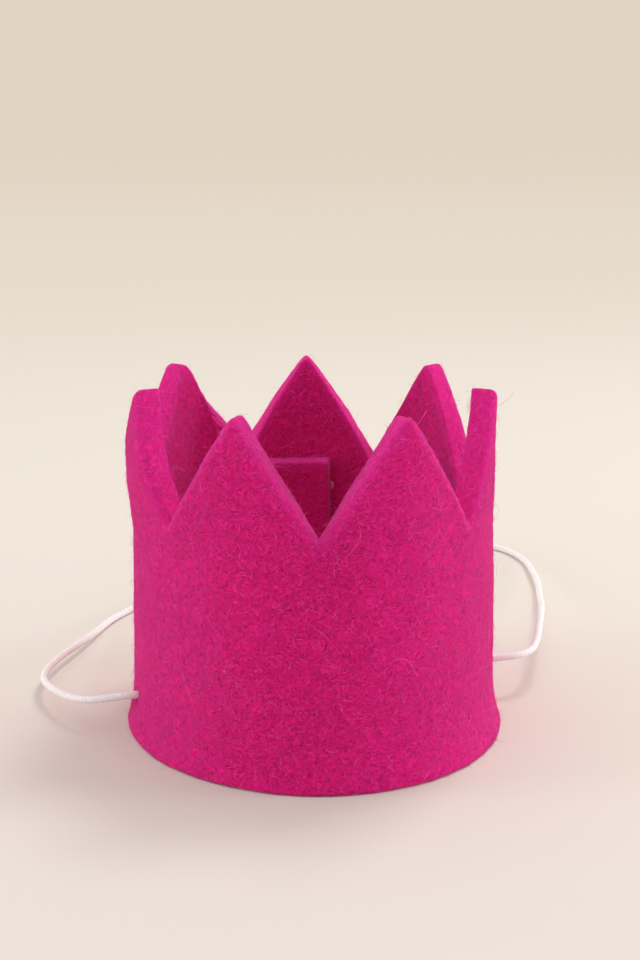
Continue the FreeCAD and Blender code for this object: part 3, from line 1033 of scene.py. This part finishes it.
@dataclass
class ElasticLoop:
    """The elastic, one smooth spline from hole to hole.

    Attributes:
        finish: its material.
        diameter: of the elastic.
        hole_azimuth: of the left hole.
        height: of the holes.
        face: distance from the axis to a knot.
        left_reach: from the left knot to the point that keeps the elastic straight in its hole.
        right_reach: the same at the right.
        left_run: from the left knot to where the elastic starts to bend.
        right_run: the same at the right.
        points: control points between the two exits.
    """

    finish: ElasticFinish = ElasticFinish()
    diameter: float = 1.5
    hole_azimuth: float = -540 / 7
    height: float = 8.2
    face: float = 30.98
    left_reach: float = 3.4
    right_reach: float = 3.2
    left_run: float = 7.0
    right_run: float = 6.6
    points: tuple[tuple[float, float, float], ...] = (
        (-46.0, -5.5, 6.0),
        (-53.0, 5.0, 4.4),
        (-56.5, 15.0, 3.4),
        (-54.5, 27.0, 2.75),
        (-50.5, 38.0, 2.25),
        (-48.0, 48.5, 1.25),
        (-45.0, 59.5, 0.75),
        (-38.0, 70.0, 0.75),
        (-29.0, 82.5, 0.75),
        (-17.5, 94.5, 0.75),
        (-4.0, 105.0, 0.75),
        (10.5, 113.5, 0.75),
        (26.0, 119.0, 0.75),
        (41.0, 118.5, 0.75),
        (54.0, 112.0, 0.75),
        (59.0, 100.5, 1.0),
        (59.0, 87.0, 1.75),
        (58.5, 75.0, 2.25),
        (56.5, 62.0, 3.5),
        (55.0, 50.0, 4.9),
        (52.5, 38.0, 6.5),
        (50.2, 27.0, 7.4),
        (48.5, 19.5, 7.65),
        (46.5, 13.2, 8.15),
        (43.4, 9.2, 8.4),
    )

    def out(self, side: Side) -> Vector:
        """Outward direction of a hole.

        Args:
            side: which hole.

        Returns:
            A unit vector.
        """
        angle = math.radians(self.hole_azimuth)
        return Vector((math.sin(angle), -math.cos(angle), 0)) * side.value

    def at(self, side: Side, reach: float) -> Vector:
        """A place on a hole's axis.

        Args:
            side: which hole.
            reach: distance from the ring's axis.

        Returns:
            The place in millimetres.
        """
        return self.out(side) * reach + Vector((0, 0, self.height))

    def make(self, knots: Sequence[bpy.types.Object]) -> bpy.types.Object:
        """Builds the elastic.

        Args:
            knots: the two stopper knots; not used.

        Returns:
            The elastic's object.
        """
        left = [
            self.at(Side.LEFT, self.face + reach) for reach in (0.0, self.left_reach, self.left_run)
        ]
        right = [
            self.at(Side.RIGHT, self.face + reach)
            for reach in (self.right_run, self.right_reach, 0.0)
        ]
        route = left + [Vector(point) for point in self.points] + right
        curve = round_line(
            "elastic", [[place * MM for place in route]], self.diameter / 2 * MM, 12, 4
        )
        elastic = add_object("elastic", curve, self.finish.material())
        return settle_piece(elastic, ["elastic_cord"])


@dataclass
class StopperKnot:
    """An overhand knot in the elastic's end, with a short tail.

    Attributes:
        loop: the elastic it ends.
        side: which hole.
        node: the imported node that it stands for.
        strand: radius of the elastic, drawn tight in the knot.
        bends: its way inwards, across and up from the hole.
        spin: turn about the hole's axis, in degrees.
    """

    loop: ElasticLoop
    side: Side
    node: str
    strand: float = 0.68
    bends: tuple[tuple[float, float, float], ...] = (
        (-0.3, 0.0, 0.0), (0.6, 0.0, 0.1), (1.6, 0.5, 0.9), (2.9, 1.3, 0.4),
        (2.9, 1.0, -0.9), (1.5, -0.1, -1.3), (0.7, -1.3, -0.5), (1.2, -1.2, 0.9),
        (2.4, -0.2, 1.2), (3.3, 0.1, 0.2), (2.4, 0.7, -0.4), (1.2, 1.4, -0.2),
        (0.9, 1.2, 0.9), (2.0, 0.0, 0.5), (3.4, -0.7, -0.2), (4.6, -0.9, -0.6),
        (6.0, -1.1, -1.0), (7.4, -1.5, -1.3),
    )
    spin: float = 0.0

    def make(self) -> bpy.types.Object:
        """Builds the knot.

        Returns:
            The knot's object.
        """
        start = self.loop.at(self.side, self.loop.face)
        inward = -self.loop.out(self.side)
        across = inward.cross(Vector((0, 0, 1)))
        turned = Matrix.Rotation(math.radians(self.spin), 3, inward)
        across, up = turned @ across, turned @ Vector((0, 0, 1))
        line = [
            (start + inward * along + across * side + up * rise) * MM
            for along, side, rise in self.bends
        ]
        name = f"{self.side.name.lower()}_stopper"
        mesh = baked_line(round_line("knot", [line], self.strand * MM, 8, 3), name)
        knot = add_object(name, mesh, self.loop.finish.material())
        return settle_piece(knot, [self.node])


@dataclass
class SeamGlue:
    """The glue between the two layers of the lap, with a bead at the tab's end.

    Attributes:
        shape: where the strip runs.
        finish: its material.
        bead_height: middle of the bead.
        line_height: middle of the line in the lap.
        line_half: half the line's height.
        squeeze: how far the line sinks into both layers, together.
    """

    shape: BandShape
    finish: GlueFinish = GlueFinish()
    bead_height: float = 40.0
    line_height: float = 28.0
    line_half: float = 13.6
    squeeze: float = 0.12

    def make(self) -> bpy.types.Object:
        """Builds the glue.

        Returns:
            The glue's object.
        """
        shape = self.shape
        azimuth = np.linspace(shape.tab_start - 1.3, shape.lap - 2.5, 60) + 360
        around = np.linspace(0, 2 * math.pi, 25)[:-1]
        loops = []
        for a in azimuth:
            beyond = np.clip((shape.tab_start + 360 + 0.6 - a) / 1.9, 0, 1)
            blob = math.sin(math.pi * min(beyond * 1.02, 1.0)) if beyond > 0 else 0.0
            if beyond > 0:
                middle, half, thick = self.bead_height, 0.1 + 0.9 * blob, 0.1 + 0.8 * blob
            else:
                waver = 0.6 * math.sin(a * 0.9) + 0.4 * math.sin(a * 2.3)
                middle, half = self.line_height, self.line_half + waver
                thick = shape.layer_shift - shape.thickness + self.squeeze
            depth = shape.thickness + thick / 2 - thick / 2 * np.cos(around)
            height = middle + half * np.sin(around)
            loops.append(shape.place(np.full(len(around), a), depth, height))
        size = len(around)
        last = (len(loops) - 1) * size
        faces = [tuple(range(size)), tuple(last + j for j in reversed(range(size)))]
        faces += skin(len(loops), size)
        mesh = make_mesh("seam_line", np.concatenate(loops), faces)
        glue = add_object("seam_line", mesh, self.finish.material())
        return settle_piece(glue, ["seam_glue"])


@dataclass(frozen=True)
class FuzzInputs:
    """Values of the fuzz generator.

    Attributes:
        density: fibres for each square metre.
        length: of a fibre, in metres.
        radius: of a fibre, in metres.
        curl: how far it wanders, in metres.
        wave: how often it bends, for each metre.
        points: places along a fibre.
        seed: of everything random in it.
    """

    density: float
    length: float
    radius: float
    curl: float
    wave: float
    points: int
    seed: int


@dataclass
class Fuzz:
    """Loose fibres on the felt, scattered by a node tree and baked to plain meshes.

    Attributes:
        name: of the piece.
        values: of the generator.
        finish: its material.
    """

    name: str
    values: FuzzInputs
    finish: FibreFinish = FibreFinish()

    @staticmethod
    def generator() -> bpy.types.GeometryNodeTree:
        """Builds the node tree once.

        Returns:
            The tree, with inputs Geometry, Density, Length, Radius, Curl, Wave, Points, Seed and
            Material.
        """
        known = bpy.data.node_groups.get("loose_fibres")
        if known:
            return known
        group = bpy.data.node_groups.new("loose_fibres", "GeometryNodeTree")
        face = group.interface
        face.new_socket(name="Geometry", in_out="INPUT", socket_type=Socket.GEOMETRY.value)
        for name in ("Density", "Length", "Radius", "Curl", "Wave"):
            face.new_socket(name=name, in_out="INPUT", socket_type=Socket.NUMBER.value)
        for name in ("Points", "Seed"):
            face.new_socket(name=name, in_out="INPUT", socket_type=Socket.COUNT.value)
        face.new_socket(name="Material", in_out="INPUT", socket_type=Socket.MATERIAL.value)
        face.new_socket(name="Geometry", in_out="OUTPUT", socket_type=Socket.GEOMETRY.value)
        tree = Tree(group)
        given = tree.add("NodeGroupInput").outputs
        spread = tree.add(
            "GeometryNodeDistributePointsOnFaces",
            {"Mesh": given["Geometry"], "Density": given["Density"], "Seed": given["Seed"]},
        )
        number = tree.add(
            "FunctionNodeRandomValue", {"Seed": given["Seed"]}, data_type="FLOAT"
        ).outputs[1]
        marked = tree.add(
            "GeometryNodeStoreNamedAttribute",
            {"Geometry": spread.outputs["Points"], "Name": "fibre", "Value": number},
            data_type="FLOAT",
            domain="POINT",
        )
        half = tree.math("MULTIPLY", given["Length"], 0.5)
        start = tree.add(
            "ShaderNodeCombineXYZ", {"X": tree.math("MULTIPLY", half, -1.0)}
        ).outputs[0]
        end = tree.add("ShaderNodeCombineXYZ", {"X": half}).outputs[0]
        line = tree.add("GeometryNodeCurvePrimitiveLine", {"Start": start, "End": end}).outputs[0]
        strand = tree.add(
            "GeometryNodeResampleCurve", {"Curve": line, "Count": given["Points"]}
        ).outputs[0]
        turn = tree.add(
            "FunctionNodeRandomValue",
            {
                0: (-0.25, -0.35, 0.0),
                1: (0.25, 0.35, 2 * math.pi),
                "Seed": tree.math("ADD", given["Seed"], 1.0),
            },
            data_type="FLOAT_VECTOR",
        ).outputs[0]
        euler = tree.add("FunctionNodeEulerToRotation", {0: turn}).outputs[0]
        rotation = tree.add(
            "FunctionNodeRotateRotation",
            {"Rotation": spread.outputs["Rotation"], "Rotate By": euler},
            rotation_space="LOCAL",
        ).outputs[0]
        scale = tree.add(
            "FunctionNodeRandomValue",
            {2: 0.35, 3: 1.3, "Seed": tree.math("ADD", given["Seed"], 2.0)},
            data_type="FLOAT",
        ).outputs[1]
        placed = tree.add(
            "GeometryNodeInstanceOnPoints",
            {"Points": marked.outputs[0], "Instance": strand, "Rotation": rotation, "Scale": scale},
        ).outputs[0]
        loose = tree.add("GeometryNodeRealizeInstances", {0: placed}).outputs[0]
        place = tree.add("GeometryNodeInputPosition").outputs[0]
        own = tree.add(
            "GeometryNodeInputNamedAttribute", {"Name": "fibre"}, data_type="FLOAT"
        ).outputs[0]
        wander = tree.add(
            "ShaderNodeTexNoise",
            {
                "Vector": place,
                "W": tree.math("MULTIPLY", own, 40.0),
                "Scale": given["Wave"],
                "Detail": 1.0,
            },
            noise_dimensions="4D",
        ).outputs["Color"]
        centred = tree.vector("SUBTRACT", wander, (0.5, 0.5, 0.5))
        shift = tree.vector("SCALE", centred, given["Curl"])
        wandered = tree.add(
            "GeometryNodeSetPosition", {"Geometry": loose, "Offset": shift}
        ).outputs[0]
        reached = tree.add(
            "ShaderNodeSeparateXYZ", {0: tree.add("GeometryNodeInputPosition").outputs[0]}
        ).outputs
        level = tree.math("MAXIMUM", reached["Z"], LOWEST_FIBRE)
        above = tree.add(
            "ShaderNodeCombineXYZ", {"X": reached["X"], "Y": reached["Y"], "Z": level}
        ).outputs[0]
        resting = tree.add(
            "GeometryNodeSetPosition", {"Geometry": wandered, "Position": above}
        ).outputs[0]
        profile = tree.add(
            "GeometryNodeCurvePrimitiveCircle", {"Resolution": 3, "Radius": given["Radius"]}
        ).outputs[0]
        solid = tree.add(
            "GeometryNodeCurveToMesh", {
                "Curve": resting, "Profile Curve": profile, "Fill Caps": True
            }
        ).outputs[0]
        real = tree.add("GeometryNodeRealizeInstances", {0: solid}).outputs[0]
        dressed = tree.add(
            "GeometryNodeSetMaterial", {"Geometry": real, "Material": given["Material"]}
        ).outputs[0]
        tree.add("NodeGroupOutput", {0: dressed})
        return group

    def make(self, ground: bpy.types.Object) -> bpy.types.Object:
        """Scatters the fibres over a piece.

        Args:
            ground: the piece that carries them.

        Returns:
            The fuzz object.
        """
        material = self.finish.material()
        carrier = add_object(self.name, ground.data.copy(), material)
        modifier = carrier.modifiers.new("fuzz", "NODES")
        modifier.node_group = self.generator()
        wanted = {name.capitalize(): value for name, value in asdict(self.values).items()}
        wanted["Material"] = material
        for item in modifier.node_group.interface.items_tree:
            if item.in_out == "INPUT" and item.name in wanted:
                modifier[item.identifier] = wanted[item.name]
        baked = plain_mesh(carrier, self.name)
        carrier.modifiers.remove(modifier)
        carrier.data = baked
        log.info("%s has %d faces", self.name, len(baked.polygons))
        return settle_piece(carrier)


@dataclass
class StrayHairs:
    """A few long hairs that stand off the felt where they catch the eye.

    Attributes:
        shape: where the strip runs.
        finish: their material.
        radius: of a hair.
        hairs: for each hair, places as azimuth, distance off the outer face and height.
    """

    shape: BandShape
    finish: FibreFinish = FibreFinish()
    radius: float = 0.03
    hairs: tuple[tuple[tuple[float, float, float], ...], ...] = (
        (
            (10.6, -0.2, 50.4),
            (11.4, 0.3, 48.6),
            (10.2, 0.5, 46.4),
            (7.6, 0.4, 44.6),
            (7.0, -0.2, 43.6),
        ),
        (
            (41.0, -0.2, 58.2),
            (43.5, 1.3, 58.6),
            (44.5, 1.7, 60.2),
            (42.2, 1.6, 61.2),
            (41.0, 0.9, 60.0),
            (42.5, 0.4, 59.0),
        ),
        ((27.2, -0.3, 66.8), (28.6, 0.2, 68.2), (29.4, 0.4, 69.4)),
        ((76.5, -0.2, 64.5), (75.0, 1.5, 66.0), (73.5, 2.6, 67.2), (73.0, 3.2, 68.2)),
        ((-27.8, -0.3, 66.2), (-30.0, 0.5, 67.6), (-30.5, 0.9, 68.6)),
        ((-42.0, -0.2, 57.5), (-44.5, 1.0, 58.5), (-45.0, 1.6, 57.0), (-43.6, 1.2, 56.0)),
        ((33.0, -0.1, 51.5), (36.0, 0.5, 50.5), (39.5, 0.5, 51.5), (41.5, -0.1, 51.2)),
        ((-5.0, -0.1, 33.0), (-1.0, 0.5, 31.5), (3.0, 0.5, 29.0), (5.5, -0.1, 26.5)),
        ((-46.0, -0.1, 20.0), (-43.0, 0.5, 17.5), (-40.0, 0.5, 14.0), (-39.0, -0.1, 12.0)),
        ((20.0, -0.1, 24.0), (24.0, 0.5, 25.0), (27.0, 0.4, 22.5), (29.0, -0.1, 20.0)),
    )

    def make(self) -> bpy.types.Object:
        """Builds the hairs.

        Returns:
            Their object.
        """
        lines = []
        for hair in self.hairs:
            azimuth, off, height = (np.array(column) for column in zip(*hair))
            lines.append(self.shape.place(azimuth + 360, -off, height) * MM)
        mesh = baked_line(round_line("hairs", lines, self.radius * MM, 6, 0), "stray_hairs")
        return settle_piece(add_object("stray_hairs", mesh, self.finish.material()))


@dataclass
class Studio:
    """Camera, floor and light.

    Attributes:
        eye: the camera's place in millimetres.
        heading: its horizontal direction.
        pitch: how far it looks down, in degrees.
        roll: of the picture, in degrees.
        lens: in millimetres on a 36 mm long side.
        low_light: strength of the room's light at the horizon.
        high_light: its strength overhead.
        floor: the floor's finish.
    """

    eye: tuple[float, float, float] = (-10.8, -307.1, 128.4)
    heading: tuple[float, float] = (0.040, 0.999)
    pitch: float = 14.5
    roll: float = -0.214
    lens: float = 61.17
    low_light: float = 0.26
    high_light: float = 1.0
    floor: FloorFinish = field(default_factory=FloorFinish)

    def camera(self) -> None:
        """Sets the photograph's camera."""
        data = bpy.data.cameras.new("camera")
        data.lens = self.lens
        data.sensor_width = 36.0
        data.clip_start = 0.01
        data.clip_end = 30.0
        seen = bpy.data.objects.new("camera", data)
        bpy.context.collection.objects.link(seen)
        flat = Vector((*self.heading, 0)).normalized()
        drop = math.radians(self.pitch)
        forward = flat * math.cos(drop) - Vector((0, 0, math.sin(drop)))
        right = forward.cross(Vector((0, 0, 1))).normalized()
        up = right.cross(forward)
        turn = math.radians(self.roll)
        turned_right = right * math.cos(turn) + up * math.sin(turn)
        turned_up = up * math.cos(turn) - right * math.sin(turn)
        axes = Matrix((turned_right, turned_up, -forward)).transposed().to_4x4()
        seen.matrix_world = Matrix.Translation(Vector(self.eye) * MM) @ axes
        bpy.context.scene.camera = seen

    def sweep(self) -> None:
        """Adds the pale floor that curves up far behind."""
        line = [(-4.0, 0.0), (-1.0, 0.0), (1.6, 0.0)]
        line += [
            (1.6 + 0.8 * math.sin(t), 0.8 - 0.8 * math.cos(t))
            for t in np.linspace(0.1, math.pi / 2, 12)
        ]
        line += [(2.4, 3.0)]
        points = [(x / MM, y / MM, z / MM) for y, z in line for x in (-4.0, 4.0)]
        faces = [(2 * k, 2 * k + 1, 2 * k + 3, 2 * k + 2) for k in range(len(line) - 1)]
        mesh = make_mesh("sweep", np.array(points), faces)
        floor = add_object("sweep", mesh, self.floor.material())
        floor.data.transform(Matrix.Translation((0, 0, -0.00002)))

    def light(
        self,
        name: str,
        place: tuple[float, float, float],
        size: float,
        power: float,
        rgb: Sequence[float],
    ) -> None:
        """Adds a soft light that faces the crown.

        Args:
            name: of the light.
            place: in metres.
            size: of its square, in metres.
            power: in watts.
            rgb: its colour.
        """
        data = bpy.data.lights.new(name, "AREA")
        data.size = size
        data.energy = power
        data.color = rgb
        lamp = bpy.data.objects.new(name, data)
        bpy.context.collection.objects.link(lamp)
        way = Vector((0, 0, 0.03)) - Vector(place)
        lamp.matrix_world = Matrix.Translation(
            Vector(place)
        ) @ way.to_track_quat("-Z", "Y").to_matrix().to_4x4()

    def lights(self) -> None:
        """Adds the key light, right and behind, and the room's even light."""
        self.light("key", (0.33, 0.36, 1.0), size=0.34, power=3.6, rgb=(1.0, 0.98, 0.95))
        self.light("left_window", (-0.9, -0.05, 0.16), size=0.3, power=3.1, rgb=(1.0, 0.98, 0.97))
        self.light("right_window", (0.9, -0.05, 0.15), size=0.3, power=3.8, rgb=(1.0, 0.98, 0.97))
        world = bpy.data.worlds.new("room")
        world.use_nodes = True
        shade = next(node for node in world.node_tree.nodes if node.type == "BACKGROUND")
        shade.inputs["Color"].default_value = color((1.0, 0.985, 0.96))
        tree = Tree(world.node_tree)
        way = tree.add("ShaderNodeTexCoord").outputs["Generated"]
        rise = tree.add("ShaderNodeSeparateXYZ", {0: way}).outputs["Z"]
        glow = tree.add(
            "ShaderNodeMapRange", {0: rise, 1: -0.1, 2: 0.9, 3: self.low_light, 4: self.high_light}
        )
        tree.tree.links.new(glow.outputs[0], shade.inputs["Strength"])
        bpy.context.scene.world = world

    def make(self) -> None:
        """Sets everything round the object."""
        self.camera()
        self.sweep()
        self.lights()
        bpy.context.scene.view_settings.view_transform = "Standard"


@dataclass
class Crown:
    """The whole object."""

    shape: BandShape = field(default_factory=BandShape)

    def make(self) -> None:
        """Builds every piece."""
        loop = ElasticLoop()
        left = StopperKnot(loop, Side.LEFT, "left_knot", spin=20.0).make()
        right = StopperKnot(loop, Side.RIGHT, "right_knot", spin=140.0).make()
        loop.make([left, right])
        band = FeltBand(self.shape).make()
        SeamGlue(self.shape).make()
        for name, values in (
            (
                "felt_fuzz_fine",
                FuzzInputs(
                    density=190000.0,
                    length=0.0026,
                    radius=0.000022,
                    curl=0.0016,
                    wave=650.0,
                    points=6,
                    seed=3,
                ),
            ),
            (
                "felt_fuzz_short",
                FuzzInputs(
                    density=210000.0,
                    length=0.0016,
                    radius=0.00002,
                    curl=0.001,
                    wave=900.0,
                    points=5,
                    seed=11,
                ),
            ),
            (
                "felt_fuzz_curls",
                FuzzInputs(
                    density=60000.0,
                    length=0.0046,
                    radius=0.000022,
                    curl=0.0034,
                    wave=420.0,
                    points=11,
                    seed=23,
                ),
            ),
        ):
            Fuzz(name, values).make(band)
        StrayHairs(self.shape).make()


def main() -> None:
    """Builds the studio and the crown."""
    logging.basicConfig(level=logging.INFO, format="%(message)s")
    Studio().make()
    Crown().make()


if __name__ == "__main__":
    main()
